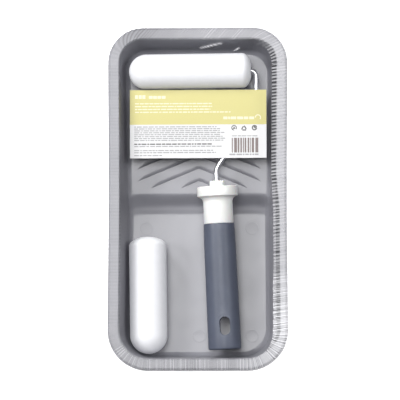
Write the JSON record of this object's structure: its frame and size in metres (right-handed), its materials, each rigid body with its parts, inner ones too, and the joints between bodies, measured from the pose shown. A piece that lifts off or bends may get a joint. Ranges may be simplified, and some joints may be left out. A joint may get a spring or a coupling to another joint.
{
  "type": "mini paint roller and tray set",
  "caption": "Ribbed plastic paint tray with a wire-framed foam roller, a spare foam sleeve and a printed card lying in it.",
  "frame": {"origin": "on the ground, under the middle of the tray", "axes": "+Y along the tray towards its shallow end, +Z up out of the tray, +X to the right seen from above with +Y up"},
  "size_m": [0.1518, 0.2888, 0.0487],
  "materials": {
    "tray_plastic": "moulded grey, soft satin",
    "film": "clear shrink film, gathered",
    "steel_wire": "bright zinc plated",
    "white_plastic": "satin",
    "grip": "slate, soft matt",
    "foam": "fine open-cell white foam",
    "core_plastic": "moulded, pale grey",
    "card": "printed, yellow over white"
  },
  "bodies": {
    "tray": {"tray": "tray_plastic", "shrink_film": "film"},
    "roller_frame": {"wire_frame": "steel_wire", "retaining_clip": "steel_wire", "handle_core": "white_plastic", "grip_sleeve": "grip"},
    "roller_sleeve": {"roller_foam_cover": "foam", "roller_core_tube": "core_plastic", "roller_inboard_bush": "core_plastic", "roller_outboard_cap": "core_plastic"},
    "spare_sleeve": {"spare_foam_cover": "foam", "spare_core_tube": "core_plastic", "spare_inboard_bush": "core_plastic", "spare_outboard_cap": "core_plastic"},
    "card": {"label_card": "card"}
  },
  "joints": [
    {"name": "roller_lift", "type": "slide", "parent": "tray", "child": "roller_frame", "axis": [0, 0, 1], "range_m": [0, 0.12]},
    {"name": "roller_spin", "type": "hinge", "parent": "roller_frame", "child": "roller_sleeve", "pos_m": [0, 0.1087, 0.03385], "axis": [1, 0.0094, 0.0005], "continuous": true},
    {"name": "spare_lift", "type": "slide", "parent": "tray", "child": "spare_sleeve", "axis": [0, 0, 1], "range_m": [0, 0.12]},
    {"name": "card_lift", "type": "slide", "parent": "roller_frame", "child": "card", "axis": [0, 0, 1], "range_m": [0, 0.06]}
  ]
}
